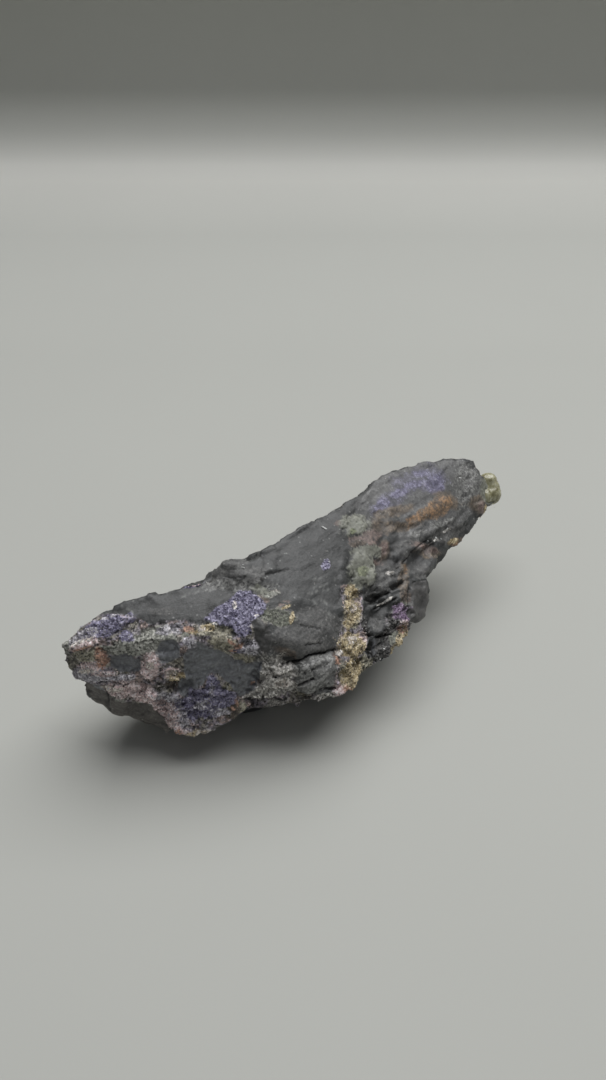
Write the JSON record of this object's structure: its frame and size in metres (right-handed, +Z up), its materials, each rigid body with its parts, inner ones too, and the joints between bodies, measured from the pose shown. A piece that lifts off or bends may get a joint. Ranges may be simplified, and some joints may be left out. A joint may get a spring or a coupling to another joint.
{
  "type": "phosphosiderite specimen",
  "caption": "Long rough mineral specimen of dark phosphate rock with purple phosphosiderite crusts, ochre and green patches; free-standing, rests on one flat facet.",
  "frame": {"origin": "middle of the bounding box in plan, on the resting plane", "axes": "+X along the length, from the blunt near end to the far tail nodule; +Y to the back; +Z up"},
  "size_m": [0.1342, 0.0452, 0.0407],
  "materials": {
    "rock": "broken dark grey phosphate rock, matt to glassy, with purple, ochre and green crusts"
  },
  "bodies": {
    "root": {"specimen_rock": "rock"}
  },
  "joints": []
}
